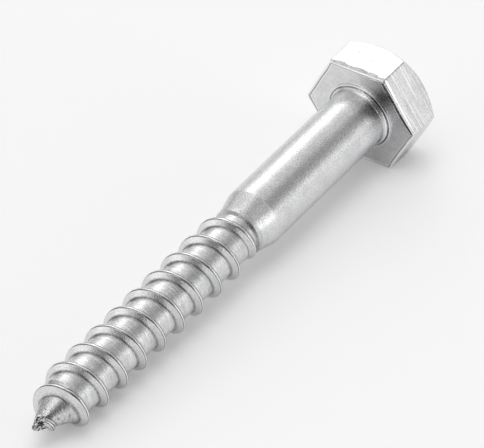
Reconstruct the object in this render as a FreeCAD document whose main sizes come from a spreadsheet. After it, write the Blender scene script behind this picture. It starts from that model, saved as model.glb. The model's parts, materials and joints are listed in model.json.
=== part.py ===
# Lag screw with a hexagon head, forged and thread-rolled from one steel blank.
# It is modelled upright on its head: the bearing face of the head lies at z = 0, the head
# below it and the point at the top. Its placement then lays it down as it comes to rest,
# on one flat of the head and the last full turn of the thread.

import FreeCAD, Part
import math
import os

import Sketcher

V = FreeCAD.Vector

SIZES = [
    ("across_flats", 17.0, "head, across two opposite flats"),
    ("head_height", 7.0, "head, bearing face to end face"),
    ("end_face_diameter", 15.7, "flat circle left on the end of the head"),
    ("chamfer_angle", 41.5, "slope of the chamfer cone at the end of the head, in degrees"),
    ("bearing_edge_round", 0.3, "rounding of the six edges of the bearing face"),
    ("collar_diameter", 11.2, "ring round the shank on the bearing face"),
    ("collar_height", 0.35, "ring, above the bearing face"),
    ("collar_flare", 0.5, "slope between the ring and the shank, both ways"),
    ("shank_diameter", 9.6, "plain shank"),
    ("shank_length", 27.7, "bearing face to the end of the plain shank"),
    ("step_length", 3.2, "cone between the shank and the neck"),
    ("neck_diameter", 8.0, "neck, the blank that the thread is rolled on"),
    ("neck_length", 2.1, "neck, from the cone to the thread's root"),
    ("root_fade_length", 1.3, "slope from the neck down to the thread's root"),
    ("screw_length", 80.0, "bearing face to the point"),
    ("point_length", 6.8, "cone of the gimlet point"),
    ("tip_diameter", 0.6, "small flat at the very tip"),
    ("root_diameter", 7.2, "core between the turns of the thread"),
    ("crest_diameter", 9.23, "outside of the thread"),
    ("thread_pitch", 4.5, "advance in one turn"),
    ("thread_angle", 60.0, "angle between the two flanks, in degrees"),
    ("crest_width", 0.3, "flat on top of the thread"),
    ("thread_start", 31.6, "bearing face to the first rise of the thread"),
    ("thread_rise", 3.6, "along the axis, until the thread is at full height"),
    ("crest_taper_length", 6.0, "stretch before the tip where the crest comes down"),
    ("thread_fade", 1.1, "stretch in which the last of the thread runs out"),
    ("bare_tip_length", 0.4, "tip that the thread doesn't reach"),
    ("start_angle", 333.0, "where the thread starts round the shank, in degrees"),
]

# Shares of the core's radius: the foot of the thread's ridge lies inside the core, and its
# crest begins and ends just under the core's surface. FLATNESS is how far off its plane a flat
# edge may read.
FOOT_SHARE = 0.75
HIDDEN_CREST_SHARE = 0.95
POINTS_PER_TURN = 12
FLATNESS = 1e-6

doc = FreeCAD.newDocument("lag_screw")
sheet = doc.addObject("Spreadsheet::Sheet", "sizes")
for row, (alias, value, meaning) in enumerate(SIZES, start=1):
    sheet.set(f"A{row}", meaning)
    sheet.set(f"B{row}", str(value))
    sheet.setAlias(f"B{row}", alias)
doc.recompute()


def size(alias):
    """One size of the sheet as a number."""
    return float(sheet.get(alias))


def new_sketch(body, name, role):
    """Empty sketch on the body's origin plane of that role."""
    sketch = body.newObject("Sketcher::SketchObject", name)
    plane = next(f for f in body.Origin.OriginFeatures if f.Role == role)
    sketch.AttachmentSupport = (plane, "")
    sketch.MapMode = "FlatFace"
    return sketch


def draw_outline(sketch, corners):
    """Closed outline of straight lines, each corner given by two expressions."""
    points = []
    for across, along in corners:
        points.append(V(float(sketch.evalExpression(across)), float(sketch.evalExpression(along)), 0))
    for i, point in enumerate(points):
        sketch.addGeometry(Part.LineSegment(point, points[(i + 1) % len(points)]), False)
    for i, (across, along) in enumerate(corners):
        sketch.addConstraint(Sketcher.Constraint("Coincident", i, 2, (i + 1) % len(corners), 1))
        if across == "0":
            sketch.addConstraint(Sketcher.Constraint("PointOnObject", i, 1, -2))
        else:
            index = sketch.addConstraint(Sketcher.Constraint("DistanceX", -1, 1, i, 1, points[i].x))
            sketch.setExpression(f"Constraints[{index}]", across)
        index = sketch.addConstraint(Sketcher.Constraint("DistanceY", -1, 1, i, 1, points[i].y))
        sketch.setExpression(f"Constraints[{index}]", along)


def edge_names(shape, wanted):
    """Names of the edges that a test picks."""
    return [f"Edge{i}" for i, edge in enumerate(shape.Edges, start=1) if wanted(edge)]


# The blank: shank, neck, core and gimlet point turned about the axis
blank = doc.addObject("PartDesign::Body", "blank")
shank_outline = new_sketch(blank, "shank_outline", "XZ_Plane")
CORE_CORNERS = [
    ("sizes.neck_diameter / 2", "sizes.shank_length + sizes.step_length"),
    ("sizes.neck_diameter / 2", "sizes.shank_length + sizes.step_length + sizes.neck_length"),
    (
        "sizes.root_diameter / 2",
        "sizes.shank_length + sizes.step_length + sizes.neck_length + sizes.root_fade_length",
    ),
    ("sizes.root_diameter / 2", "sizes.screw_length - sizes.point_length"),
    ("sizes.tip_diameter / 2", "sizes.screw_length"),
]
draw_outline(
    shank_outline,
    [
        ("0", "-sizes.head_height / 2"),
        ("sizes.collar_diameter / 2", "-sizes.head_height / 2"),
        ("sizes.collar_diameter / 2", "sizes.collar_height"),
        ("sizes.shank_diameter / 2 + sizes.collar_flare", "sizes.collar_height"),
        ("sizes.shank_diameter / 2", "sizes.collar_height + sizes.collar_flare"),
        ("sizes.shank_diameter / 2", "sizes.shank_length"),
        *CORE_CORNERS,
        ("0", "sizes.screw_length"),
    ],
)
shank = blank.newObject("PartDesign::Revolution", "shank")
shank.Profile = shank_outline
shank.ReferenceAxis = (shank_outline, ["V_Axis"])
shank.Angle = 360

# The hexagon, with one flat towards +x, which becomes the side that it rests on
hexagon = new_sketch(blank, "hexagon", "XY_Plane")
FLAT = "sizes.across_flats / 2"
HALF_SIDE = "sizes.across_flats / 2 * tan(30 deg)"
CORNER = "sizes.across_flats / 2 / cos(30 deg)"
hexagon_corners = [
    (FLAT, f"-({HALF_SIDE})"),
    (FLAT, HALF_SIDE),
    ("0", CORNER),
    (f"-({FLAT})", HALF_SIDE),
    (f"-({FLAT})", f"-({HALF_SIDE})"),
    ("0", f"-({CORNER})"),
]
draw_outline(hexagon, hexagon_corners)
head = blank.newObject("PartDesign::Pad", "head")
head.Profile = hexagon
head.setExpression("Length", "sizes.head_height")
head.Reversed = True

# The chamfer cone that the forging die leaves at the end of the head
chamfer_outline = new_sketch(blank, "chamfer_outline", "XZ_Plane")
draw_outline(
    chamfer_outline,
    [
        ("sizes.end_face_diameter / 2", "-sizes.head_height"),
        ("sizes.across_flats", "-sizes.head_height"),
        (
            "sizes.across_flats",
            "-sizes.head_height + (sizes.across_flats - sizes.end_face_diameter / 2)"
            " * tan(sizes.chamfer_angle * 1 deg)",
        ),
    ],
)
chamfer = blank.newObject("PartDesign::Groove", "chamfer")
chamfer.Profile = chamfer_outline
chamfer.ReferenceAxis = (chamfer_outline, ["V_Axis"])
chamfer.Angle = 360
doc.recompute()


def on_bearing_edge(edge):
    """True for a straight edge of the hexagon in the bearing face."""
    box = edge.BoundBox
    in_the_face = abs(box.ZMin) < FLATNESS and abs(box.ZMax) < FLATNESS
    return in_the_face and isinstance(edge.Curve, Part.Line)


bearing_round = blank.newObject("PartDesign::Fillet", "bearing_round")
bearing_round.Base = (chamfer, edge_names(chamfer.Shape, on_bearing_edge))
bearing_round.setExpression("Radius", "sizes.bearing_edge_round")
doc.recompute()


# The thread: one right-hand ridge that rises out of the neck, runs down the core at full
# height, follows the point's cone and fades out just before the tip
def between(value, stations):
    """Straight-line reading of a table of (position, value) pairs."""
    for (low, at_low), (high, at_high) in zip(stations, stations[1:]):
        if value <= high:
            share = max(0.0, (value - low) / (high - low))
            return at_low + share * (at_high - at_low)
    return stations[-1][1]


CORE = []
for radius, height in CORE_CORNERS:
    CORE.append((float(shank_outline.evalExpression(height)), float(shank_outline.evalExpression(radius))))
CREST = [
    (size("screw_length") - size("crest_taper_length"), size("crest_diameter") / 2),
    (size("screw_length"), size("tip_diameter") / 2),
]
THREAD_END = size("screw_length") - size("bare_tip_length")


def crest_radius(height):
    """Radius of the thread's crest at a height, with its rise and its fade."""
    full = between(height, CREST)
    rise = min(1.0, (height - size("thread_start")) / size("thread_rise"))
    fade = min(1.0, (THREAD_END - height) / size("thread_fade"))
    rising = math.sin(math.pi / 2 * rise)
    fading = fade * fade * (3 - 2 * fade)
    start = HIDDEN_CREST_SHARE * size("neck_diameter") / 2
    end = HIDDEN_CREST_SHARE * between(height, CORE)
    risen = start + (full - start) * rising
    return end + (risen - end) * fading


def ridge_corners(height):
    """The four corners of the ridge's section: (radius, height) from foot to foot."""
    crest = crest_radius(height)
    half_crest = size("crest_width") / 2
    spread = math.tan(math.radians(size("thread_angle") / 2))
    corners = []
    for side in (-1, 1):
        foot = FOOT_SHARE * between(height, CORE)
        foot_height = height + side * (half_crest + (crest - foot) * spread)
        foot = FOOT_SHARE * between(foot_height, CORE)
        foot_height = height + side * (half_crest + (crest - foot) * spread)
        corners.append([(foot, foot_height), (crest, height + side * half_crest)])
    return corners[0] + corners[1][::-1]


def ruled_face(first, second):
    """Face ruled between two curves that have the same knots."""
    surface = Part.BSplineSurface()
    surface.buildFromPolesMultsKnots(
        [first.getPoles(), second.getPoles()],
        [2, 2],
        first.getMultiplicities(),
        [0.0, 1.0],
        first.getKnots(),
        False,
        False,
        1,
        first.Degree,
    )
    return surface.toShape()


def ridge_piece(curves, lines, first, last):
    """Closed solid of the ridge between two of its stations, with flat ends."""
    faces = []
    lengths = []
    for curve in curves:
        stretch = curve.copy()
        stretch.segment(float(first), float(last))
        lengths.append(stretch)
    for i, curve in enumerate(lengths):
        faces.append(ruled_face(curve, lengths[(i + 1) % len(lengths)]))
    for station in (first, last):
        corners = [line[station] for line in lines]
        faces.append(Part.Face(Part.makePolygon(corners + corners[:1])))
    shell = Part.makeShell(faces)
    shell.sewShape()
    piece = Part.makeSolid(Part.makeShell(shell.Faces))
    if piece.Volume < 0:
        piece.reverse()
    return piece


def make_ridge():
    """The thread's ridge, turn by turn, on four helical edges that run its whole length."""
    travel = THREAD_END - size("thread_start")
    turns = travel / size("thread_pitch")
    stations = math.ceil(turns * POINTS_PER_TURN)
    lines = [[], [], [], []]
    for i in range(stations + 1):
        height = size("thread_start") + travel * i / stations
        angle = math.radians(size("start_angle")) + 2 * math.pi * turns * i / stations
        for line, (radius, level) in zip(lines, ridge_corners(height)):
            line.append(V(radius * math.cos(angle), radius * math.sin(angle), level))
    curves = []
    for line in lines:
        curve = Part.BSplineCurve()
        curve.interpolate(Points=line, Parameters=[float(i) for i in range(stations + 1)])
        curves.append(curve)
    pieces = math.ceil(turns)
    ends = [round(stations * i / pieces) for i in range(pieces + 1)]
    turn_pieces = [ridge_piece(curves, lines, first, last) for first, last in zip(ends, ends[1:])]
    return turn_pieces[0].fuse(turn_pieces[1:])


thread = doc.addObject("Part::Feature", "thread")
thread.Shape = make_ridge()

screw = doc.addObject("Part::Fuse", "lag_screw")
screw.Base = blank
screw.Tool = thread
screw.Refine = True


def resting_placement():
    """Lays the screw down along +x on a flat of the head and its lowest full turn."""
    turn_start = size("thread_start") - size("thread_pitch") * size("start_angle") / 360
    full_turns = (size("screw_length") - size("crest_taper_length") - turn_start) / size("thread_pitch")
    contact = turn_start + math.floor(full_turns) * size("thread_pitch") + size("crest_width") / 2
    edge_round = size("bearing_edge_round")
    drop = size("across_flats") / 2 - edge_round - size("crest_diameter") / 2
    reach = contact + edge_round
    tilt = math.atan2(drop, reach) + math.asin(edge_round / math.hypot(drop, reach))
    lift = (size("across_flats") / 2 - edge_round) * math.cos(tilt) + edge_round * (1 - math.sin(tilt))
    tip = size("screw_length") * math.cos(tilt) + size("tip_diameter") / 2 * math.sin(tilt)
    back = size("head_height") * math.cos(tilt) + size("end_face_diameter") / 2 * math.sin(tilt)
    lying = FreeCAD.Rotation(V(0, 1, 0), 90 + math.degrees(tilt))
    return FreeCAD.Placement(V((back - tip) / 2, 0, lift), lying)


doc.recompute()
screw.Placement = resting_placement()
doc.recompute()

for item in doc.Objects:
    if "Invalid" in item.State or "Error" in item.State:
        raise RuntimeError(f"{item.Name} failed: {item.State}")
if screw.Shape.isNull() or not screw.Shape.isValid() or len(screw.Shape.Solids) != 1:
    raise RuntimeError("the screw is not one valid solid")
if screw.Shape.Volume <= blank.Shape.Volume:
    raise RuntimeError("the thread adds nothing to the blank")

os.makedirs("parts", exist_ok=True)
screw.Shape.exportStep(f"parts/{screw.Label}.step")
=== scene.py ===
# A hexagon-head lag screw of bright zinc-plated steel, lying on a pale floor in soft light.
# The script follows the screw as it is made: head and shank, then thread and point, each
# with its plating, and last the studio where it is photographed.

import json
import math

import bmesh
import bpy
from mathutils import Matrix, Vector, noise


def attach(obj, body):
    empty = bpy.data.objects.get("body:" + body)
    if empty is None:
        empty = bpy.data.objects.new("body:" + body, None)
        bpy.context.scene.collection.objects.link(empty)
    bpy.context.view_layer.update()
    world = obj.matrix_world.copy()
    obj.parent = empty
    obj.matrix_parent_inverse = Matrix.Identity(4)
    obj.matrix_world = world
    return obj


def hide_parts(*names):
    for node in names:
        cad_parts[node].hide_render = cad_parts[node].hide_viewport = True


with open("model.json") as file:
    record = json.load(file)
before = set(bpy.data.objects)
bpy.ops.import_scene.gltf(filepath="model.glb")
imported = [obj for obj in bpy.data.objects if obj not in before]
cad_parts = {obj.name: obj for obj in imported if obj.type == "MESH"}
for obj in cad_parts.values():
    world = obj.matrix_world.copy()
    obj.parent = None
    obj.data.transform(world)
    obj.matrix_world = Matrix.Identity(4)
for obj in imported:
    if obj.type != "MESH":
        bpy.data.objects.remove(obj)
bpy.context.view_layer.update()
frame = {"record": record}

scene = bpy.context.scene

# The forged blank: head, collar, shank and neck, one piece of low-carbon steel wire upset in
# dies. The head is trimmed to six flats, with a chamfer cone on its end and a low collar round
# the shank, and the shank's far end is drawn down to the neck that the thread is rolled on.

# Sizes are in millimetres, with the bearing face at height 0, the head below and the point
# above, and one flat of the head towards x: the flat that it lies on.
ACROSS_FLATS = 17.0
HEAD_HEIGHT = 7.0
END_FACE_RADIUS = 7.85
CHAMFER_SLOPE = math.tan(math.radians(41.5))
END_RIM_ROUND = 0.5
CHAMFER_ROUND = 0.16
CORNER_ROUND = 0.28
COLLAR_RADIUS = 5.6
COLLAR_HEIGHT = 0.35
COLLAR_RIM_WIDTH = 0.17
COLLAR_ROUND = 0.08
COLLAR_GROOVE_RADIUS = 5.3
COLLAR_GROOVE_HEIGHT = COLLAR_HEIGHT - 0.18
COLLAR_FLARE_RADIUS = 5.16
FLARE_LIP_HEIGHT = COLLAR_HEIGHT + 0.08
FLARE_LIP_ROUND = 0.04
FLARE_FOOT_RADIUS = COLLAR_FLARE_RADIUS - 0.18
FLARE_FOOT_HEIGHT = COLLAR_HEIGHT + 0.28
FLARE_FOOT_ROUND = 0.2
COLLAR_FLARE_TOP = 0.95
COLLAR_FLARE_ROUND = 0.5
FINE_ROUND = 0.03
SHANK_RADIUS = 4.8
SHANK_LENGTH = 27.7
STEP_LENGTH = 3.2
STEP_ROUND = 0.35
NECK_RADIUS = 4.0
NECK_ROUND = 0.12
BLANK_END = 31.6
CORE_OF_BLANK = 2.5

SIDES = 6
SIDE_ANGLE = math.tau / SIDES
COLUMNS_PER_SIDE = 40
COLUMNS = SIDES * COLUMNS_PER_SIDE
CROWDING_AT_CORNERS = 1.7
STEPS_PER_ROUND = 4
TOP_FLAT_ANGLE = math.pi
SHEAR_DEPTH = 0.13
SHEAR_HEIGHT = 0.5
SHEAR_SEED = Vector((3.7, 0, 0))
SHEAR_LEVELS = 4
SHEAR_LEVEL_SCALE = 0.55
SHEAR_LEVEL_SWING = 0.8
SHEAR_RAG_SCALE = 2.1
SHEAR_RAG_SWING = 0.22
SHEAR_MEAN = 0.5
SHEAR_LEAST = 0.12
SHEAR_CORNER_FADE = 9
TORN_EDGE_ROUND = 0.2
DIE_ROLL_HEIGHT = 0.5
DIE_ROLL_DEPTH = 0.16
DIE_ROLL_SHARE = 0.45
DIE_ROLL_EXTRA = 0.1
EDGE_DROP = 0.08
EDGE_ROUND = 0.05
BURR_HEIGHT = 0.06
BURR_WIDTH = 0.3
BURR_BEVEL = 0.2
BURR_ROUND = 0.06
BURR_GROOVE_DEPTH = 0.08
BURR_GROOVE_WIDTH = 0.1
FACE_LIP_HEIGHT = 0.03
FACE_LIP_WIDTH = 0.15

# Round the head the edge wavers, each part by its own share. The groove inside the burr is deep,
# wide and darkened most by painted shade only along the flat at the deep groove's angle.
WAVER_SCALE = 4.5
BURR_HEIGHT_WAVER = 1.1
BURR_WIDTH_WAVER = 0.5
DIE_ROLL_WAVER = 0.7
DEEP_GROOVE_ANGLE = math.radians(120)
DEEP_GROOVE_WIDER = 1.6
DEEP_GROOVE_WAVER = 1.8
DEEP_GROOVE_DEEPER = 2
EDGE_PAINTED_SHADE = 0.25
DEEP_GROOVE_PAINTED_SHADE = 0.75
# Painted shade darkens the collar's groove, most near the deep groove's angle.
COLLAR_PAINTED_SHADE = 0.95
COLLAR_SHADE_FALL = 0.45
COLLAR_SHADE_WAVER = 0.5
COLLAR_SHADE_LEAST = 0.25

# A painted dark reflection clouds the bearing face beside the collar, and the shank next to it.
PAINTED_REFLECTION_ANGLE = math.radians(131)
PAINTED_REFLECTION_HALF_ANGLE = math.radians(38)
PAINTED_REFLECTION_ON_FACE = 0.5
PAINTED_REFLECTION_ON_SHANK = 0.45
PAINTED_REFLECTION_FOOT = 0.55
PAINTED_REFLECTION_TOP = 2.0

# Where it lies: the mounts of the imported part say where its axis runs.
MM = 0.001
MOUNTS = {mount["name"]: mount for mount in frame["record"]["mounts"]}
AXIS = Vector(MOUNTS["shank"]["axis"]).normalized()
SHANK_MIDDLE = Vector(MOUNTS["shank"]["pos_m"])
ON_BEARING_FACE = Vector(MOUNTS["bearing_face"]["pos_m"])
UNDER_HEAD = SHANK_MIDDLE + AXIS * (ON_BEARING_FACE - SHANK_MIDDLE).dot(AXIS)
SIDEWAYS = Vector((0, 1, 0))
TURNED = Matrix((SIDEWAYS.cross(AXIS), SIDEWAYS, AXIS)).transposed().to_4x4()
AS_IT_LIES = Matrix.Translation(UNDER_HEAD) @ TURNED @ Matrix.Scale(MM, 4)


def column_angle(column):
    """Angle of a column of the mesh. Columns stand closer together at the corners."""
    side, place = divmod(column, COLUMNS_PER_SIDE)
    across = 2 * place / COLUMNS_PER_SIDE - 1
    bunched = math.copysign(1 - (1 - abs(across)) ** CROWDING_AT_CORNERS, across)
    return (side + 1 + bunched / 2) * SIDE_ANGLE


def angle_off_flat(angle):
    """Angle from the middle of the nearest flat."""
    return (angle + SIDE_ANGLE / 2) % SIDE_ANGLE - SIDE_ANGLE / 2


def hexagon_radius(angle):
    """Distance from the axis to the hexagon with its rounded corners."""
    flat = ACROSS_FLATS / 2
    off_flat = abs(angle_off_flat(angle))
    round_centre = (flat - CORNER_ROUND) / math.cos(SIDE_ANGLE / 2)
    if off_flat <= math.atan(round_centre * math.sin(SIDE_ANGLE / 2) / flat):
        return flat / math.cos(off_flat)
    off_corner = SIDE_ANGLE / 2 - off_flat
    aside = round_centre * math.sin(off_corner)
    return round_centre * math.cos(off_corner) + math.sqrt(CORNER_ROUND**2 - aside**2)


def sheared_share(angle):
    """How far the trimming die tore the bearing edge here: only along the top flat."""
    off_top = angle - TOP_FLAT_ANGLE
    if abs(off_top) >= SIDE_ANGLE / 2:
        return 0.0
    place = ACROSS_FLATS / 2 * math.tan(off_top)
    smooth = noise.noise(SHEAR_SEED + Vector((place * SHEAR_LEVEL_SCALE, 0, 0)))
    stepped = round(SHEAR_LEVELS * smooth) / SHEAR_LEVELS
    ragged = noise.noise(SHEAR_SEED + Vector((place * SHEAR_RAG_SCALE, 5, 0)))
    torn = SHEAR_MEAN + SHEAR_LEVEL_SWING * stepped + SHEAR_RAG_SWING * ragged
    fades_at_corners = min(1.0, (SIDE_ANGLE / 2 - abs(off_top)) * SHEAR_CORNER_FADE)
    return max(SHEAR_LEAST, min(1.0, torn)) * fades_at_corners


def rounded_profile(corners):
    """Points (radius, height, finish) along corners (radius, height, round, steps, finish)."""
    profile = [(*corners[0][:2], corners[0][4])]
    for before, here, after in zip(corners, corners[1:], corners[2:]):
        corner = Vector(here[:2])
        back = (Vector(before[:2]) - corner).normalized()
        ahead = (Vector(after[:2]) - corner).normalized()
        half = back.angle(ahead) / 2
        reach = here[2] / math.tan(half)
        centre = corner + (back + ahead).normalized() * here[2] / math.sin(half)
        first_arm = corner + back * reach - centre
        last_arm = corner + ahead * reach - centre
        start = Vector(profile[-1][:2])
        for i in range(1, before[3]):
            profile.append((*start.lerp(centre + first_arm, i / before[3]), before[4]))
        for i in range(STEPS_PER_ROUND + 1):
            arm = first_arm.slerp(last_arm, i / STEPS_PER_ROUND) * here[2]
            finish = before[4] if i < STEPS_PER_ROUND else here[4]
            profile.append((*(centre + arm), finish))
    start = Vector(profile[-1][:2])
    steps, finish = corners[-2][3:]
    for i in range(1, steps + 1):
        profile.append((*start.lerp(Vector(corners[-1][:2]), i / steps), finish))
    return profile


# Each finish says how much of four marks it has: lines left by the tool, grime with painted shade,
# tearing and burnishing.
PLAIN = (0.0, 0.0, 0.0, 0.0)
BURNISHED = (0.0, 0.0, 0.0, 1.0)
TRIMMED_FLAT = (1.0, 0.0, 0.0, 0.0)
TORN_EDGE = (0.0, 0.0, 0.6, 0.0)
COLLAR_RIM = (0.0, 0.0, 0.1, 1.0)
DRAWN_DOWN = (0.12, 0.0, 0.1, 0.0)
NECK_MARKS = (1.0, 0.15, 0.4, 0.0)
GROOVE_TORN = 0.2
blank = bmesh.new()
FINISHES = ("lines", "grime_and_shade", "torn", "burnish")
finish_layers = [blank.verts.layers.float.new(name) for name in FINISHES]
grime_and_shade_layer = finish_layers[FINISHES.index("grime_and_shade")]
run_layer = blank.verts.layers.float_vector.new("run")


def blank_point(radius, height, angle, finish):
    """A point of the blank, with its finish and its place along and round the axis."""
    point = blank.verts.new((radius * math.cos(angle), radius * math.sin(angle), height))
    for layer, amount in zip(finish_layers, finish):
        point[layer] = amount
    point[run_layer] = (height, math.cos(angle), math.sin(angle))
    return point


end_pole = blank_point(0, -HEAD_HEIGHT, 0, PLAIN)
blank_columns = []
for column in range(COLUMNS):
    angle = column_angle(column)
    reach = hexagon_radius(angle)
    torn = sheared_share(angle)
    chamfer_edge = -HEAD_HEIGHT + (reach - END_FACE_RADIUS) * CHAMFER_SLOPE
    waver = noise.noise(Vector((math.cos(angle), math.sin(angle), 0)) * WAVER_SCALE)
    off_deep = abs(angle - DEEP_GROOVE_ANGLE)
    deep = 1.0 if off_deep < SIDE_ANGLE / 2 else 0.0
    die_roll = DIE_ROLL_SHARE + DIE_ROLL_EXTRA * deep
    roll_height = DIE_ROLL_HEIGHT * die_roll * (1 + DIE_ROLL_WAVER * waver) + SHEAR_HEIGHT * torn
    roll_end = reach - DIE_ROLL_DEPTH * die_roll - SHEAR_DEPTH * torn
    burr = BURR_HEIGHT * (1 + BURR_HEIGHT_WAVER * waver)
    burr_inside = roll_end - BURR_WIDTH * (1 + BURR_WIDTH_WAVER * waver)
    groove = BURR_GROOVE_WIDTH * (1 + (DEEP_GROOVE_WIDER + DEEP_GROOVE_WAVER * waver) * deep)
    groove_depth = BURR_GROOVE_DEPTH * (1 + DEEP_GROOVE_DEEPER * deep)
    face_edge = burr_inside - 2 * groove
    # Painted shade darkens the groove inside the burr, most along the deep groove's flat.
    shaded_edge_groove = (0.0, EDGE_PAINTED_SHADE + DEEP_GROOVE_PAINTED_SHADE * deep, GROOVE_TORN * deep, 0.0)
    # Painted shade in the collar's groove, fading away from the deep groove's angle.
    collar_shade = COLLAR_PAINTED_SHADE - COLLAR_SHADE_FALL * off_deep + COLLAR_SHADE_WAVER * waver
    shaded_collar_groove = (0.0, max(COLLAR_SHADE_LEAST, collar_shade), GROOVE_TORN, 0.0)
    # The painted dark reflection is deepest at its angle round the axis.
    painted_reflection = max(0.0, math.cos((angle - PAINTED_REFLECTION_ANGLE) * math.pi / 2 / PAINTED_REFLECTION_HALF_ANGLE))
    if abs(angle - PAINTED_REFLECTION_ANGLE) >= PAINTED_REFLECTION_HALF_ANGLE:
        painted_reflection = 0.0
    face_with_painted_reflection = (0.0, PAINTED_REFLECTION_ON_FACE * painted_reflection, 0.0, 0.0)
    profile = rounded_profile(
        [
            (0, -HEAD_HEIGHT, 0, 8, PLAIN),
            (END_FACE_RADIUS, -HEAD_HEIGHT, END_RIM_ROUND, 4, PLAIN),
            (reach, chamfer_edge, CHAMFER_ROUND, 14, TRIMMED_FLAT),
            (reach, -EDGE_DROP - roll_height, TORN_EDGE_ROUND, 3, TORN_EDGE if torn else BURNISHED),
            (roll_end, -EDGE_DROP, EDGE_ROUND, 1, BURNISHED),
            (roll_end - BURR_BEVEL, burr, BURR_ROUND, 1, BURNISHED),
            (burr_inside, burr, FINE_ROUND, 1, shaded_edge_groove),
            (burr_inside - groove, -groove_depth, FINE_ROUND, 1, shaded_edge_groove),
            (face_edge, FACE_LIP_HEIGHT, FINE_ROUND, 1, BURNISHED),
            (face_edge - FACE_LIP_WIDTH, 0, EDGE_ROUND, 8, face_with_painted_reflection),
            (COLLAR_RADIUS, 0, COLLAR_ROUND, 2, COLLAR_RIM),
            (COLLAR_RADIUS, COLLAR_HEIGHT, COLLAR_ROUND, 1, COLLAR_RIM),
            (COLLAR_RADIUS - COLLAR_RIM_WIDTH, COLLAR_HEIGHT, FINE_ROUND, 1, shaded_collar_groove),
            (COLLAR_GROOVE_RADIUS, COLLAR_GROOVE_HEIGHT, FINE_ROUND, 1, shaded_collar_groove),
            (COLLAR_FLARE_RADIUS, FLARE_LIP_HEIGHT, FLARE_LIP_ROUND, 3, COLLAR_RIM),
            (FLARE_FOOT_RADIUS, FLARE_FOOT_HEIGHT, FLARE_FOOT_ROUND, 3, PLAIN),
            (SHANK_RADIUS, COLLAR_FLARE_TOP, COLLAR_FLARE_ROUND, 12, PLAIN),
            (SHANK_RADIUS, SHANK_LENGTH, STEP_ROUND, 4, DRAWN_DOWN),
            (NECK_RADIUS, SHANK_LENGTH + STEP_LENGTH, NECK_ROUND, 2, NECK_MARKS),
            (NECK_RADIUS, BLANK_END, FINE_ROUND, 3, NECK_MARKS),
            (CORE_OF_BLANK, BLANK_END, 0, 0, NECK_MARKS),
        ]
    )
    points = [blank_point(radius, height, angle, finish) for radius, height, finish in profile[1:]]
    # The painted dark reflection reaches up the shank next to the collar.
    for point in points:
        if PAINTED_REFLECTION_FOOT < point.co.z < PAINTED_REFLECTION_TOP:
            point[grime_and_shade_layer] = max(point[grime_and_shade_layer], PAINTED_REFLECTION_ON_SHANK * painted_reflection)
    blank_columns.append(points)
inner_pole = blank_point(0, BLANK_END, 0, PLAIN)
for points, following in zip(blank_columns, blank_columns[1:] + blank_columns[:1]):
    blank.faces.new((end_pole, following[0], points[0]))
    for i in range(len(points) - 1):
        blank.faces.new((points[i], following[i], following[i + 1], points[i + 1]))
    blank.faces.new((points[-1], following[-1], inner_pole))
for face in blank.faces:
    face.smooth = True
blank_mesh = bpy.data.meshes.new("head_and_shank")
blank.to_mesh(blank_mesh)
blank.free()
blank_mesh.transform(AS_IT_LIES)
head_and_shank = bpy.data.objects.new("head_and_shank", blank_mesh)
scene.collection.objects.link(head_and_shank)


# Its finish is electroplated zinc, bright but satin, over steel that was tumbled clean: a fine
# orange-peel skin that sparkles. The group "zinc skin" makes it, with tool lines, grime and
# painted shade, tearing and burnishing where the mesh says so.
def wire(tree, value, socket):
    """Connect a socket, or set a plain value."""
    if isinstance(value, bpy.types.NodeSocket):
        tree.links.new(value, socket)
    else:
        socket.default_value = value


def calculate(tree, operation, *values):
    """A Math node with these inputs."""
    node = tree.nodes.new("ShaderNodeMath")
    node.operation = operation
    for value, socket in zip(values, node.inputs):
        wire(tree, value, socket)
    return node.outputs["Value"]


def ramp(tree, value, low, high, at_low=0.0, at_high=1.0):
    """A smooth step of a value."""
    node = tree.nodes.new("ShaderNodeMapRange")
    node.interpolation_type = "SMOOTHSTEP"
    for name, setting in (
        ("Value", value),
        ("From Min", low),
        ("From Max", high),
        ("To Min", at_low),
        ("To Max", at_high),
    ):
        wire(tree, setting, node.inputs[name])
    return node.outputs["Result"]


def grain(tree, place, scale, detail=2.0, roughness=0.5):
    """Noise with this many features to each unit of place."""
    node = tree.nodes.new("ShaderNodeTexNoise")
    wire(tree, place, node.inputs["Vector"])
    wire(tree, scale, node.inputs["Scale"])
    node.inputs["Detail"].default_value = detail
    node.inputs["Roughness"].default_value = roughness
    return node.outputs["Fac"]


def blended(tree, share, first, second):
    """A colour mixed from two."""
    node = tree.nodes.new("ShaderNodeMix")
    node.data_type = "RGBA"
    wire(tree, share, node.inputs["Factor"])
    wire(tree, first, node.inputs["A"])
    wire(tree, second, node.inputs["B"])
    return node.outputs["Result"]


BRIGHT_ZINC = (0.86, 0.86, 0.865, 1)
CLOUDY_ZINC = (0.55, 0.555, 0.565, 1)
BURNISHED_STREAK = (0.97, 0.97, 0.98, 1)
GREY_GRIME_AND_SHADE = (0.06, 0.06, 0.063, 1)
DULL_GRAIN = (0.4, 0.405, 0.41, 1)
SPARKLE_SCALE = 4400
SPARKLE_DEPTH = 0.3
CLOUD_SCALE = 520
TORN_SCALE = 3600
SWELL_SCALE_SHARE = 0.28
SWELL_RELIEF = 0.25
LINE_RELIEF = 1.4
TORN_RELIEF = 5.0
ALONG_TOOL = (1, 0.35, 0.35)
LINE_GRIME = 0.2
TORN_GRIME = 0.6
CLOUD_SATIN = 0.05
TORN_SATIN = 0.15
GRIME_AND_SHADE_SATIN = 0.2

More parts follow.
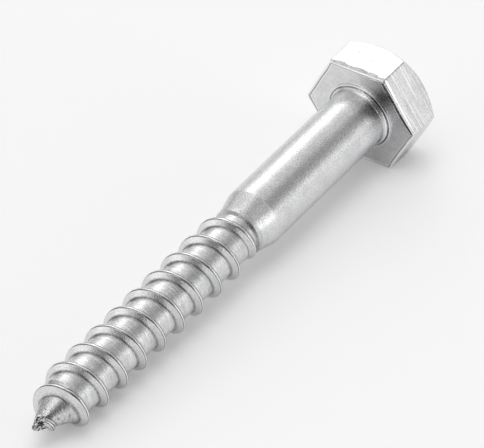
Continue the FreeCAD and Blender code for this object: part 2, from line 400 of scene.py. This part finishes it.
# Each mark fades in from the first to the second of these levels of its noise.
CLOUDED_AT = (0.38, 0.68)
DULL_GRAIN_AT = (0.6, 0.35)
BURNISHED_AT = (0.56, 0.64)
LINE_SHADE_AT = (0.5, 0.3)
TORN_SHADE_AT = (0.62, 0.4)
GRIME_AND_SHADE_AT = (0.7, 0.3)
LEAST_GRIME_AND_SHADE_SHARE = 0.6
MOST_GRIME_AND_SHADE_SHARE = 1.3
zinc_skin = bpy.data.node_groups.new("zinc skin", "ShaderNodeTree")
for name, kind in (
    ("Place", "NodeSocketVector"),
    ("Run", "NodeSocketVector"),
    ("Peel Scale", "NodeSocketFloat"),
    ("Peel Depth", "NodeSocketFloat"),
    ("Line Scale", "NodeSocketFloat"),
    ("Lines", "NodeSocketFloat"),
    ("Grime_And_Shade", "NodeSocketFloat"),
    ("Torn", "NodeSocketFloat"),
    ("Cloud", "NodeSocketFloat"),
    ("Burnish", "NodeSocketFloat"),
    ("Satin", "NodeSocketFloat"),
):
    zinc_skin.interface.new_socket(name, in_out="INPUT", socket_type=kind)
for name, kind in (
    ("Color", "NodeSocketColor"),
    ("Roughness", "NodeSocketFloat"),
    ("Height", "NodeSocketFloat"),
):
    zinc_skin.interface.new_socket(name, in_out="OUTPUT", socket_type=kind)
skin_in = zinc_skin.nodes.new("NodeGroupInput").outputs
skin_out = zinc_skin.nodes.new("NodeGroupOutput").inputs


def skin_sum(operation, *values):
    """A Math node of the zinc skin."""
    return calculate(zinc_skin, operation, *values)


peel = grain(zinc_skin, skin_in["Place"], skin_in["Peel Scale"], detail=2, roughness=0.65)
swell_scale = skin_sum("MULTIPLY", skin_in["Peel Scale"], SWELL_SCALE_SHARE)
swell = grain(zinc_skin, skin_in["Place"], swell_scale, detail=1)
torn_up = grain(zinc_skin, skin_in["Place"], TORN_SCALE, detail=3, roughness=0.7)
along_tool = zinc_skin.nodes.new("ShaderNodeVectorMath")
along_tool.operation = "MULTIPLY"
wire(zinc_skin, skin_in["Run"], along_tool.inputs[0])
along_tool.inputs[1].default_value = ALONG_TOOL
run_along_tool = along_tool.outputs["Vector"]
lines = grain(zinc_skin, run_along_tool, skin_in["Line Scale"], detail=2, roughness=0.6)
skin_height = skin_sum("MULTIPLY_ADD", swell, SWELL_RELIEF, peel)
skin_height = skin_sum("MULTIPLY", skin_height, skin_in["Peel Depth"])
line_height = skin_sum("MULTIPLY", lines, skin_in["Lines"])
skin_height = skin_sum("MULTIPLY_ADD", line_height, LINE_RELIEF, skin_height)
torn_height = skin_sum("MULTIPLY", torn_up, skin_in["Torn"])
skin_height = skin_sum("MULTIPLY_ADD", torn_height, TORN_RELIEF, skin_height)
wire(zinc_skin, skin_height, skin_out["Height"])

clouds = grain(zinc_skin, skin_in["Place"], CLOUD_SCALE, detail=4, roughness=0.6)
clouded = ramp(zinc_skin, clouds, *CLOUDED_AT)
cloudy = skin_sum("MULTIPLY", clouded, skin_in["Cloud"])
colour = blended(zinc_skin, cloudy, BRIGHT_ZINC, CLOUDY_ZINC)
sparkle = grain(zinc_skin, skin_in["Place"], SPARKLE_SCALE, detail=1)
dull_grain = ramp(zinc_skin, sparkle, *DULL_GRAIN_AT, 0.0, SPARKLE_DEPTH)
colour = blended(zinc_skin, dull_grain, colour, DULL_GRAIN)
burnished = skin_sum("MULTIPLY", ramp(zinc_skin, lines, *BURNISHED_AT), skin_in["Lines"])
burnished = skin_sum("MAXIMUM", burnished, skin_in["Burnish"])
colour = blended(zinc_skin, burnished, colour, BURNISHED_STREAK)
line_shade = skin_sum("MULTIPLY", ramp(zinc_skin, lines, *LINE_SHADE_AT), skin_in["Lines"])
torn_shade = skin_sum("MULTIPLY", ramp(zinc_skin, torn_up, *TORN_SHADE_AT), skin_in["Torn"])
# The grime input also carries painted shade in grooves and creases, and a painted dark reflection.
grime_and_shade_share = ramp(zinc_skin, torn_up, *GRIME_AND_SHADE_AT, LEAST_GRIME_AND_SHADE_SHARE, MOST_GRIME_AND_SHADE_SHARE)
grime_and_shade = skin_sum("MULTIPLY", grime_and_shade_share, skin_in["Grime_And_Shade"])
grime_and_shade = skin_sum("MAXIMUM", grime_and_shade, skin_sum("MULTIPLY", line_shade, LINE_GRIME))
grime_and_shade = skin_sum("MAXIMUM", grime_and_shade, skin_sum("MULTIPLY", torn_shade, TORN_GRIME))
wire(zinc_skin, blended(zinc_skin, grime_and_shade, colour, GREY_GRIME_AND_SHADE), skin_out["Color"])
satin = skin_sum("MULTIPLY_ADD", clouded, CLOUD_SATIN, skin_in["Satin"])
satin = skin_sum("MULTIPLY_ADD", skin_in["Torn"], TORN_SATIN, satin)
satin = skin_sum("MULTIPLY_ADD", grime_and_shade, GRIME_AND_SHADE_SATIN, satin)
wire(zinc_skin, satin, skin_out["Roughness"])


def read_attribute(tree, name, output="Fac"):
    """A value that the piece's mesh carries."""
    node = tree.nodes.new("ShaderNodeAttribute")
    node.attribute_name = name
    return node.outputs[output]


def plated(name, relief, **amounts):
    """A zinc-plated material and the inputs of its skin; relief is the bump's depth."""
    material = bpy.data.materials.new(name)
    material.use_nodes = True
    tree = material.node_tree
    steel = tree.nodes["Principled BSDF"]
    steel.inputs["Metallic"].default_value = 1.0
    skin = tree.nodes.new("ShaderNodeGroup")
    skin.node_tree = zinc_skin
    wire(tree, tree.nodes.new("ShaderNodeTexCoord").outputs["Object"], skin.inputs["Place"])
    wire(tree, read_attribute(tree, "run", "Vector"), skin.inputs["Run"])
    for amount_name, amount in amounts.items():
        skin.inputs[amount_name.replace("_", " ").title()].default_value = amount
    bump = tree.nodes.new("ShaderNodeBump")
    bump.inputs["Distance"].default_value = relief
    wire(tree, skin.outputs["Color"], steel.inputs["Base Color"])
    wire(tree, skin.outputs["Roughness"], steel.inputs["Roughness"])
    wire(tree, skin.outputs["Height"], bump.inputs["Height"])
    wire(tree, bump.outputs["Normal"], steel.inputs["Normal"])
    return material, skin.inputs


PEEL_SCALE = 6000
PEEL_DEPTH = 1.0
blank_zinc, blank_skin = plated(
    "zinc_on_forged_steel",
    relief=30e-6,
    peel_scale=PEEL_SCALE,
    peel_depth=PEEL_DEPTH,
    line_scale=2.6,
    cloud=0.3,
    satin=0.12,
)
for name in FINISHES:
    wire(blank_zinc.node_tree, read_attribute(blank_zinc.node_tree, name), blank_skin[name.title()])
blank_mesh.materials.append(blank_zinc)

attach(head_and_shank, "root")
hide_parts("lag_screw")

# The rolled thread and gimlet point: flat dies roll the thread cold into the neck, and the steel
# flows up from both sides of each turn and meets in fine seams along the crest. The same dies
# pinch off the cone of the point, round which the thread runs out.

# The mesh is one strip, a pitch wide, that winds from inside the neck to the tip.
PITCH = 4.5
CREST_RADIUS = 4.615
CREST_FLAT = 0.46
FLANK_SLOPE = math.tan(math.radians(60))
END_FLANK_SLOPE = 4.0
ROOT_RADIUS = 3.6
FADE_START = 33.0
FADE_END = 34.3
POINT_START = 73.2
CREST_POINT_START = 74.0
TIP_HEIGHT = 80.0
TIP_RADIUS = 0.3
CREST_START = 31.6
CREST_START_ANGLE = math.radians(333)
CREST_RISE = 3.6
CREST_DROP = 1.5
CREST_DROP_LENGTH = 0.3
CREST_END = 79.6
CREST_FADE = 1.1
HIDDEN_IN_NECK = 0.93
HIDDEN_IN_CORE = 0.95
LAST_TURN = 72.3
END_FLANK_STEEPENS = (LAST_TURN + 1.0, LAST_TURN + 2.2)
END_SIDE_WIDTH = 0.1
THREAD_JOINT = 31.1
ROOT_FILLET = 0.25
POINT_FILLET = 0.06
FILLET_SHRINKS_BY = POINT_START + 1.0
CREST_ROUNDING = 0.05
CONE_ROUNDING = 0.12
SEAM_DEPTH = 0.07
SEAM_WIDTH = 0.1
SEAM_PLACE = 0.185
SEAM_WANDER = 0.042
WANDER_SCALE = 9.0
UNEVENNESS = 0.03
SHAKE_SCALE = 23.0
DENT_SCALE = 0.9
DENT_SHARE = 0.5
DENTS_ON_RADIUS = 4.0
CRUMPLED_FROM = 77.2
CRUMPLED_BY = TIP_HEIGHT - 1.2
CRUMPLE_DEPTH = 0.4
CRUMPLE_SCALE = 1.15
GAP_UNDER_NECK = 0.06
GAP_CLOSES = (BLANK_END - 0.1, BLANK_END + 0.05)
NECK_POLE_LENGTH = 0.1 * PITCH
TIP_POLE_LENGTH = 0.02 * PITCH
FOOT_HEIGHT = 0.08
FOOT_INWARD_AT_POINT = 0.15
FOOT_MOVES_INWARD = (POINT_START + 1.0, POINT_START + 2.0)
FOOT_BEGINS = (0.66, 0.78)
FOOT_ENDS = (0.84, 1.08)
ROOT_BEGINS = (0.6, 1.1)
WORN_CREST_ENDS = (0.11, 0.16)
THREAD_FADE = 0.3
THREAD_SIDE_FADE = (0.1, 0.3)
LAST_TURN_FADE = 0.2
STEPS_PER_TURN = 96
POINTS_PER_PITCH = 57
CROWDING_AT_CREST = 1.8
SAME_POINT = 0.002
STRIP_START = THREAD_JOINT - 0.9 * PITCH
STRIP_TURNS = math.ceil((TIP_HEIGHT + 0.6 * PITCH - STRIP_START) / PITCH)

thread_tree = bpy.data.node_groups.new("rolled thread", "GeometryNodeTree")
thread_inputs = {}
for name, setting in (
    ("Pitch", PITCH),
    ("Crest Radius", CREST_RADIUS),
    ("Crest Flat", CREST_FLAT),
    ("Root Radius", ROOT_RADIUS),
    ("Neck Radius", NECK_RADIUS),
    ("Tip Height", TIP_HEIGHT),
    ("Seam Depth", SEAM_DEPTH),
    ("Seam Width", SEAM_WIDTH),
    ("Unevenness", UNEVENNESS),
):
    socket = thread_tree.interface.new_socket(name, in_out="INPUT", socket_type="NodeSocketFloat")
    thread_inputs[socket.identifier] = setting
finish_socket = thread_tree.interface.new_socket(
    "Finish", in_out="INPUT", socket_type="NodeSocketMaterial"
)
thread_tree.interface.new_socket("Thread", in_out="OUTPUT", socket_type="NodeSocketGeometry")
size_of = thread_tree.nodes.new("NodeGroupInput").outputs
thread_out = thread_tree.nodes.new("NodeGroupOutput").inputs


def level(value, low, high, at_low, at_high, kind="LINEAR"):
    """Go from one level to another while a value goes from low to high."""
    node = thread_tree.nodes.new("ShaderNodeMapRange")
    node.interpolation_type = kind
    for name, setting in (
        ("Value", value),
        ("From Min", low),
        ("From Max", high),
        ("To Min", at_low),
        ("To Max", at_high),
    ):
        wire(thread_tree, setting, node.inputs[name])
    return node.outputs["Result"]


def work_out(operation, *values):
    """A Math node of the thread's tree."""
    return calculate(thread_tree, operation, *values)


def waves(place, scale, detail=2.0):
    """Noise from -1 to 1 on the thread."""
    node = thread_tree.nodes.new("ShaderNodeTexNoise")
    wire(thread_tree, place, node.inputs["Vector"])
    node.inputs["Scale"].default_value = scale
    node.inputs["Detail"].default_value = detail
    return work_out("MULTIPLY_ADD", node.outputs["Fac"], 2.0, -1.0)


strip = thread_tree.nodes.new("GeometryNodeMeshGrid")
strip.inputs["Size X"].default_value = 1.0
strip.inputs["Size Y"].default_value = 2.0
strip.inputs["Vertices X"].default_value = STRIP_TURNS * STEPS_PER_TURN + 1
strip.inputs["Vertices Y"].default_value = POINTS_PER_PITCH
place_in_strip = thread_tree.nodes.new("ShaderNodeSeparateXYZ")
position = thread_tree.nodes.new("GeometryNodeInputPosition")
thread_tree.links.new(position.outputs["Position"], place_in_strip.inputs["Vector"])
turns = work_out("MULTIPLY", work_out("ADD", place_in_strip.outputs["X"], 0.5), STRIP_TURNS)
side = place_in_strip.outputs["Y"]
half_pitch = work_out("MULTIPLY", size_of["Pitch"], 0.5)
aside = work_out("POWER", work_out("ABSOLUTE", side), CROWDING_AT_CREST)
aside = work_out("MULTIPLY", aside, half_pitch)
across = work_out("MULTIPLY", work_out("SIGN", side), aside)
crest_height = work_out("MULTIPLY_ADD", turns, size_of["Pitch"], STRIP_START)
height = work_out("ADD", crest_height, across)
first_angle = CREST_START_ANGLE + math.tau * (STRIP_START - CREST_START) / PITCH
angle = work_out("MULTIPLY_ADD", turns, math.tau, first_angle)

# The core under the ridge, and the crest along it.
core = level(height, FADE_START, FADE_END, size_of["Neck Radius"], size_of["Root Radius"])
cone = level(height, POINT_START, size_of["Tip Height"], size_of["Root Radius"], TIP_RADIUS)
core = work_out("SMOOTH_MIN", core, cone, CONE_ROUNDING)
crest = level(
    crest_height, CREST_POINT_START, size_of["Tip Height"], size_of["Crest Radius"], TIP_RADIUS
)
rise = level(crest_height, CREST_START, CREST_START + CREST_RISE, 0.0, math.pi / 2)
rise = work_out("SINE", rise)
low_crest = work_out("MULTIPLY", size_of["Neck Radius"], HIDDEN_IN_NECK)
crest = work_out("MULTIPLY_ADD", work_out("SUBTRACT", crest, low_crest), rise, low_crest)
ends = level(crest_height, CREST_END - CREST_FADE, CREST_END, 1.0, 0.0, "SMOOTHSTEP")
core_at_crest = level(
    crest_height, POINT_START, size_of["Tip Height"], size_of["Root Radius"], TIP_RADIUS
)
core_at_crest = work_out("MULTIPLY", core_at_crest, HIDDEN_IN_CORE)
crest_above = work_out("MULTIPLY", work_out("SUBTRACT", crest, core_at_crest), ends)
crest = work_out("ADD", core_at_crest, crest_above)
bare = level(crest_height, CREST_START - CREST_DROP_LENGTH, CREST_START, CREST_DROP, 0.0)
crest = work_out("SUBTRACT", crest, bare)

# The ridge's flanks, with the seams in its crest.
toward_x = work_out("COSINE", angle)
toward_y = work_out("SINE", angle)
on_core = thread_tree.nodes.new("ShaderNodeCombineXYZ")
wire(thread_tree, work_out("MULTIPLY", toward_x, DENTS_ON_RADIUS), on_core.inputs["X"])
wire(thread_tree, work_out("MULTIPLY", toward_y, DENTS_ON_RADIUS), on_core.inputs["Y"])
wire(thread_tree, height, on_core.inputs["Z"])
on_crest = thread_tree.nodes.new("ShaderNodeCombineXYZ")
wire(thread_tree, turns, on_crest.inputs["X"])
wander = work_out("MULTIPLY", waves(on_crest.outputs["Vector"], WANDER_SCALE), SEAM_WANDER)
shake = waves(on_crest.outputs["Vector"], SHAKE_SCALE)
crest = work_out("ADD", crest, work_out("MULTIPLY", shake, size_of["Unevenness"]))
off_crest = work_out("ABSOLUTE", work_out("ADD", across, wander))
beyond_flat = work_out("SUBTRACT", off_crest, work_out("MULTIPLY", size_of["Crest Flat"], 0.5))
beyond_flat = work_out("SMOOTH_MAX", beyond_flat, 0.0, CREST_ROUNDING)
on_flat = level(off_crest, *WORN_CREST_ENDS, 1.0, 0.0)
steep = level(crest_height, *END_FLANK_STEEPENS, FLANK_SLOPE, END_FLANK_SLOPE)
end_side = level(across, 0.0, END_SIDE_WIDTH, 0.0, 1.0)
slope = work_out("MULTIPLY_ADD", work_out("SUBTRACT", steep, FLANK_SLOPE), end_side, FLANK_SLOPE)
ridge = work_out("SUBTRACT", crest, work_out("MULTIPLY", beyond_flat, slope))
off_seam = work_out("ABSOLUTE", work_out("SUBTRACT", off_crest, SEAM_PLACE))
in_seam = level(off_seam, 0.0, size_of["Seam Width"], 1.0, 0.0, "SMOOTHSTEP")
seam = work_out("MULTIPLY", in_seam, size_of["Seam Depth"])
ridge = work_out("SUBTRACT", ridge, work_out("MULTIPLY", seam, rise))
fillet = level(height, POINT_START, FILLET_SHRINKS_BY, ROOT_FILLET, POINT_FILLET)
radius = work_out("SMOOTH_MAX", core, ridge, fillet)
dent_depth = work_out("MULTIPLY", size_of["Unevenness"], DENT_SHARE)
dents = work_out("MULTIPLY", waves(on_core.outputs["Vector"], DENT_SCALE), dent_depth)
radius = work_out("ADD", radius, dents)
crumple_depth = level(height, CRUMPLED_FROM, CRUMPLED_BY, 0.0, CRUMPLE_DEPTH)
crumples = waves(on_core.outputs["Vector"], CRUMPLE_SCALE, 3.0)
radius = work_out("MULTIPLY_ADD", crumples, crumple_depth, radius)

# Both ends are drawn in to a pole, the first inside the neck and the second at the tip.
inside_neck = level(height, THREAD_JOINT - NECK_POLE_LENGTH, THREAD_JOINT, 0.0, 1.0)
below_tip = level(height, TIP_HEIGHT, TIP_HEIGHT + TIP_POLE_LENGTH, 1.0, 0.0)
under_neck = level(height, *GAP_CLOSES, GAP_UNDER_NECK, 0.0)
radius = work_out("SUBTRACT", radius, under_neck)
radius = work_out("MULTIPLY", work_out("MULTIPLY", radius, inside_neck), below_tip)
kept_height = work_out("MINIMUM", work_out("MAXIMUM", height, THREAD_JOINT), size_of["Tip Height"])
wound = thread_tree.nodes.new("ShaderNodeCombineXYZ")
wire(thread_tree, work_out("MULTIPLY", radius, toward_x), wound.inputs["X"])
wire(thread_tree, work_out("MULTIPLY", radius, toward_y), wound.inputs["Y"])
wire(thread_tree, kept_height, wound.inputs["Z"])

# Where the finish changes: the place along and round the axis, the bare cone of the point, the
# root, and the crease at the foot of the flanks, which gets painted shade.
run = thread_tree.nodes.new("ShaderNodeCombineXYZ")
wire(thread_tree, height, run.inputs["X"])
wire(thread_tree, toward_x, run.inputs["Y"])
wire(thread_tree, toward_y, run.inputs["Z"])
past_thread = level(crest_height, LAST_TURN, LAST_TURN + THREAD_FADE, 0.0, 1.0)
past_thread = work_out("MULTIPLY", past_thread, level(across, *THREAD_SIDE_FADE, 0.0, 1.0))
turn_end = LAST_TURN + PITCH
past_last = level(
    crest_height, turn_end - LAST_TURN_FADE, turn_end + LAST_TURN_FADE, 0.0, 1.0
)
past_thread = work_out("MAXIMUM", past_thread, past_last)
near_core = level(radius, core, work_out("ADD", core, FOOT_HEIGHT), 1.0, 0.0)
on_cone = work_out("MULTIPLY", near_core, past_thread)
in_root = level(aside, *ROOT_BEGINS, 0.0, 1.0)
foot_in = level(height, *FOOT_MOVES_INWARD, 0.0, FOOT_INWARD_AT_POINT)
from_foot = work_out("ADD", aside, foot_in)
foot_begins = level(from_foot, *FOOT_BEGINS, 0.0, 1.0)
foot_ends = level(from_foot, *FOOT_ENDS, 1.0, 0.0)
at_foot = work_out("MULTIPLY", foot_begins, foot_ends)
marked = strip.outputs["Mesh"]
for name, kind, mark in (
    ("run", "FLOAT_VECTOR", run.outputs["Vector"]),
    ("seam", "FLOAT", work_out("MULTIPLY", in_seam, rise)),
    ("foot", "FLOAT", at_foot),
    ("point", "FLOAT", on_cone),
    ("root", "FLOAT", in_root),
    ("crest", "FLOAT", on_flat),
):
    store = thread_tree.nodes.new("GeometryNodeStoreNamedAttribute")
    store.data_type = kind
    store.domain = "POINT"
    store.inputs["Name"].default_value = name
    wire(thread_tree, marked, store.inputs["Geometry"])
    wire(thread_tree, mark, store.inputs["Value"])
    marked = store.outputs["Geometry"]
wind = thread_tree.nodes.new("GeometryNodeSetPosition")
wire(thread_tree, marked, wind.inputs["Geometry"])
wire(thread_tree, wound.outputs["Vector"], wind.inputs["Position"])
join_turns = thread_tree.nodes.new("GeometryNodeMergeByDistance")
join_turns.inputs["Distance"].default_value = SAME_POINT
wire(thread_tree, wind.outputs["Geometry"], join_turns.inputs["Geometry"])
smooth = thread_tree.nodes.new("GeometryNodeSetShadeSmooth")
wire(thread_tree, join_turns.outputs["Geometry"], smooth.inputs["Geometry"])
real = thread_tree.nodes.new("GeometryNodeRealizeInstances")
wire(thread_tree, smooth.outputs["Geometry"], real.inputs["Geometry"])
finish = thread_tree.nodes.new("GeometryNodeSetMaterial")
wire(thread_tree, real.outputs["Geometry"], finish.inputs["Geometry"])
wire(thread_tree, size_of["Finish"], finish.inputs["Material"])
wire(thread_tree, finish.outputs["Geometry"], thread_out["Thread"])

thread_zinc, thread_skin = plated(
    "zinc_on_rolled_thread",
    relief=28e-6,
    peel_scale=PEEL_SCALE,
    peel_depth=PEEL_DEPTH,
    line_scale=4.5,
)
thread_nodes = thread_zinc.node_tree


def finish_sum(operation, *values):
    """A Math node of the thread's finish."""
    return calculate(thread_nodes, operation, *values)


# The torn end has dark pits between bright ridges, and the cone of the point has fainter spots.
TORN_END = (77.9, 78.3)
PIT_SCALE = 2.0
PITTED_AT = (0.52, 0.56)
PIT_GRIME = 1.4
SPOT_SCALE = 2.6
SPOTTED_AT = (0.54, 0.68)
SPOT_GRIME = 0.6
SEAM_SHADE_AT = (0.25, 0.7)
FOOT_PAINTED_SHADE = 0.7
POINT_TORN = 0.2
PINCHED_TORN = 0.1
TORN_END_BRIGHT = 0.6
ROOT_LINES = 0.65
THREAD_SATIN = 0.12
SATIN_MORE_IN_ROOT = 0.08
THREAD_CLOUD = 0.1
CLOUD_MORE_IN_ROOT = 0.35
WEAR_SCALE = 3.5
WORN_AT = (0.35, 0.6)
LEAST_WEAR = 0.25
run_place = read_attribute(thread_nodes, "run", "Vector")
on_point = read_attribute(thread_nodes, "point")
in_root = read_attribute(thread_nodes, "root")
along = thread_nodes.nodes.new("ShaderNodeSeparateXYZ")
wire(thread_nodes, run_place, along.inputs["Vector"])
at_tip = ramp(thread_nodes, along.outputs["X"], *TORN_END)
# Painted shade darkens the seam's groove along the crest.
painted_seam_shade = ramp(thread_nodes, read_attribute(thread_nodes, "seam"), *SEAM_SHADE_AT)
# Painted shade darkens the crease at the foot of each flank.
painted_foot_shade = finish_sum("MULTIPLY", read_attribute(thread_nodes, "foot"), FOOT_PAINTED_SHADE)
spots = grain(thread_nodes, run_place, SPOT_SCALE, detail=3, roughness=0.7)
spots = ramp(thread_nodes, spots, *SPOTTED_AT, 0.0, SPOT_GRIME)
spotted = finish_sum("MULTIPLY", on_point, spots)
pits = grain(thread_nodes, run_place, PIT_SCALE, detail=2, roughness=0.6)
pits = ramp(thread_nodes, pits, *PITTED_AT, 0.0, PIT_GRIME)
spotted = finish_sum("MAXIMUM", spotted, finish_sum("MULTIPLY", pits, at_tip))
thread_grime_and_shade = finish_sum("ADD", painted_seam_shade, finish_sum("MAXIMUM", painted_foot_shade, spotted))
wire(thread_nodes, thread_grime_and_shade, thread_skin["Grime_And_Shade"])
pinched = ramp(thread_nodes, along.outputs["X"], *TORN_END, 1.0, PINCHED_TORN)
torn_point = finish_sum("MULTIPLY", on_point, POINT_TORN)
wire(thread_nodes, finish_sum("MULTIPLY", torn_point, pinched), thread_skin["Torn"])
wire(thread_nodes, finish_sum("MULTIPLY", in_root, ROOT_LINES), thread_skin["Lines"])
satin = finish_sum("MULTIPLY_ADD", in_root, SATIN_MORE_IN_ROOT, THREAD_SATIN)
wire(thread_nodes, satin, thread_skin["Satin"])
cloud = finish_sum("MULTIPLY_ADD", in_root, CLOUD_MORE_IN_ROOT, THREAD_CLOUD)
wire(thread_nodes, cloud, thread_skin["Cloud"])
# The crest flat is burnished brighter where it wears: real wear, and in part a painted highlight.
# The torn end is burnished too.
wear = grain(thread_nodes, run_place, WEAR_SCALE, detail=2, roughness=0.6)
worn_and_highlit = ramp(thread_nodes, wear, *WORN_AT, LEAST_WEAR, 1.0)
worn_and_highlit = finish_sum("MULTIPLY", worn_and_highlit, read_attribute(thread_nodes, "crest"))
worn_and_highlit = finish_sum("MAXIMUM", worn_and_highlit, finish_sum("MULTIPLY", at_tip, TORN_END_BRIGHT))
wire(thread_nodes, worn_and_highlit, thread_skin["Burnish"])

roller = bpy.data.objects.new("roller", bpy.data.meshes.new("roller"))
scene.collection.objects.link(roller)
rolling = roller.modifiers.new("rolling", "NODES")
rolling.node_group = thread_tree
for identifier, setting in thread_inputs.items():
    rolling[identifier] = setting
rolling[finish_socket.identifier] = thread_zinc
rolled_up = roller.evaluated_get(bpy.context.evaluated_depsgraph_get())
thread_mesh = bpy.data.meshes.new_from_object(rolled_up)
thread_mesh.name = "thread_and_point"
roller.modifiers.remove(rolling)
bpy.data.objects.remove(roller)
thread_mesh.transform(AS_IT_LIES)
thread_and_point = bpy.data.objects.new("thread_and_point", thread_mesh)
scene.collection.objects.link(thread_and_point)
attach(thread_and_point, "root")
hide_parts("lag_screw")

# The studio: a sheet of white paper under a broad lamp, in a pale room with soft panels. The
# paper is a plane that reaches past the picture on all sides.
CAMERA_AT = Vector((0.37152, 0.29035, 0.37745))
CAMERA_AIM = Vector((-0.005565, 0.000257, 0.008))
CAMERA_ROLL = math.radians(-3.0)
FOCAL_LENGTH = 308.77
camera = bpy.data.objects.new("camera", bpy.data.cameras.new("camera"))
scene.collection.objects.link(camera)
camera.data.sensor_width = 36
camera.data.lens = FOCAL_LENGTH
camera.data.clip_end = 10
looking = (CAMERA_AIM - CAMERA_AT).to_track_quat("-Z", "Y").to_matrix().to_4x4()
camera.matrix_world = Matrix.Translation(CAMERA_AT) @ looking @ Matrix.Rotation(CAMERA_ROLL, 4, "Z")
scene.camera = camera

FLOOR_REACH = 1.5
PAPER_SHADE = (0.88, 0.88, 0.885, 1)
PAPER_GLOW = 0.153
PAPER_GLOW_IN_METAL = 0.05
corners = [(x * FLOOR_REACH, y * FLOOR_REACH, 0) for x, y in ((-1, -1), (1, -1), (1, 1), (-1, 1))]
floor_mesh = bpy.data.meshes.new("floor")
floor_mesh.from_pydata(corners, [], [(0, 1, 2, 3)])
floor = bpy.data.objects.new("floor", floor_mesh)
scene.collection.objects.link(floor)
paper = bpy.data.materials.new("paper")
paper.use_nodes = True
sheet = paper.node_tree.nodes["Principled BSDF"]
sheet.inputs["Base Color"].default_value = PAPER_SHADE
sheet.inputs["Roughness"].default_value = 0.9
sheet.inputs["Specular IOR Level"].default_value = 0.0
sheet.inputs["Emission Color"].default_value = (1, 1, 1, 1)
light_path = paper.node_tree.nodes.new("ShaderNodeLightPath").outputs
glow = calculate(paper.node_tree, "MULTIPLY", light_path["Is Camera Ray"], PAPER_GLOW)
glow = calculate(
    paper.node_tree, "MULTIPLY_ADD", light_path["Is Glossy Ray"], PAPER_GLOW_IN_METAL, glow
)
wire(paper.node_tree, glow, sheet.inputs["Emission Strength"])
floor_mesh.materials.append(paper)

# A broad lamp almost overhead casts the soft shadow. The metal doesn't mirror it, only the
# room and the paper.
LAMP_STRENGTH = 0.61
LAMP_SPREAD = math.radians(36)
LAMP_AZIMUTH = math.radians(90)
LAMP_ELEVATION = math.radians(84)
lamp = bpy.data.objects.new("lamp", bpy.data.lights.new("lamp", "SUN"))
scene.collection.objects.link(lamp)
lamp.data.energy = LAMP_STRENGTH
lamp.data.angle = LAMP_SPREAD
lamp.visible_glossy = False
lamp_from = Matrix.Rotation(LAMP_AZIMUTH, 4, "Z") @ Matrix.Rotation(-LAMP_ELEVATION, 4, "Y")
lamp.matrix_world = (lamp_from @ Vector((1, 0, 0))).to_track_quat("Z", "Y").to_matrix().to_4x4()

# The room is pale, with soft panels round the screw that the metal mirrors as its light and
# dark bands. The brightest is the softbox at the back, across from the camera, and left and
# right are the camera's. A panel with a negative level is darker than the room.
ROOM_LEVEL = 0.45
PANELS = (
    # name, azimuth, half width, soft edge, low edge, high edge, soft edge, level: all but the
    # name and the level in degrees
    ("softbox", -141, 10, 9, 26, 43, 10, 1.85),
    ("round the softbox", -150, 38, 14, 6, 54, 12, 0.35),
    ("high at the back", 180, 34, 12, 47, 62, 8, 0.2),
    ("behind the head", 170, 24, 8, -4, 30, 8, 0.7),
    ("ceiling", -60, 95, 14, 56, 99, 10, 0.5),
    ("spot in the ceiling", 12, 30, 8, 54, 69, 5, 1.0),
    ("gap at the left", -95, 15, 8, -10, 16, 7, -0.25),
    ("left of the softbox", -108, 18, 8, 20, 60, 9, 0.22),
    ("left wall", -34, 27, 12, -8, 40, 12, 0.25),
    ("low left panel", -38, 20, 11, -4, 19, 9, 0.45),
    ("camera side", 55, 34, 9, -20, 48, 8, -0.365),
    ("beyond the point", 8, 16, 8, -20, 16, 8, -0.4),
    ("low right panel", 116, 30, 7, 1, 19, 8, 0.55),
    ("bright end of it", 98, 14, 6, -3, 32, 7, 0.65),
    ("high right panel", 99, 16, 8, 34, 66, 8, 0.18),
    ("dark corner", 137, 20, 10, 27, 58, 9, -0.14),
)
world = bpy.data.worlds.new("room")
scene.world = world
world.use_nodes = True
room = world.node_tree
facing = room.nodes.new("ShaderNodeTexCoord").outputs["Generated"]
apart = room.nodes.new("ShaderNodeSeparateXYZ")
wire(room, facing, apart.inputs["Vector"])
azimuth = calculate(room, "ARCTAN2", apart.outputs["Y"], apart.outputs["X"])
azimuth = calculate(room, "DEGREES", azimuth)
elevation = calculate(room, "DEGREES", calculate(room, "ARCSINE", apart.outputs["Z"]))
room_light = ROOM_LEVEL
for name, centre, half, soft_side, low, high, soft_top, panel_level in PANELS:
    off_centre = calculate(room, "WRAP", calculate(room, "SUBTRACT", azimuth, centre), 180, -180)
    off_centre = calculate(room, "ABSOLUTE", off_centre)
    within = ramp(room, off_centre, half + soft_side, half - soft_side)
    above = ramp(room, elevation, low - soft_top, low + soft_top)
    below = ramp(room, elevation, high + soft_top, high - soft_top)
    within = calculate(room, "MULTIPLY", within, calculate(room, "MULTIPLY", above, below))
    room_light = calculate(room, "MULTIPLY_ADD", within, panel_level, room_light)
wire(room, room_light, room.nodes["Background"].inputs["Strength"])
room.nodes["Background"].inputs["Color"].default_value = (1, 1, 1, 1)
scene.view_settings.view_transform = "Standard"
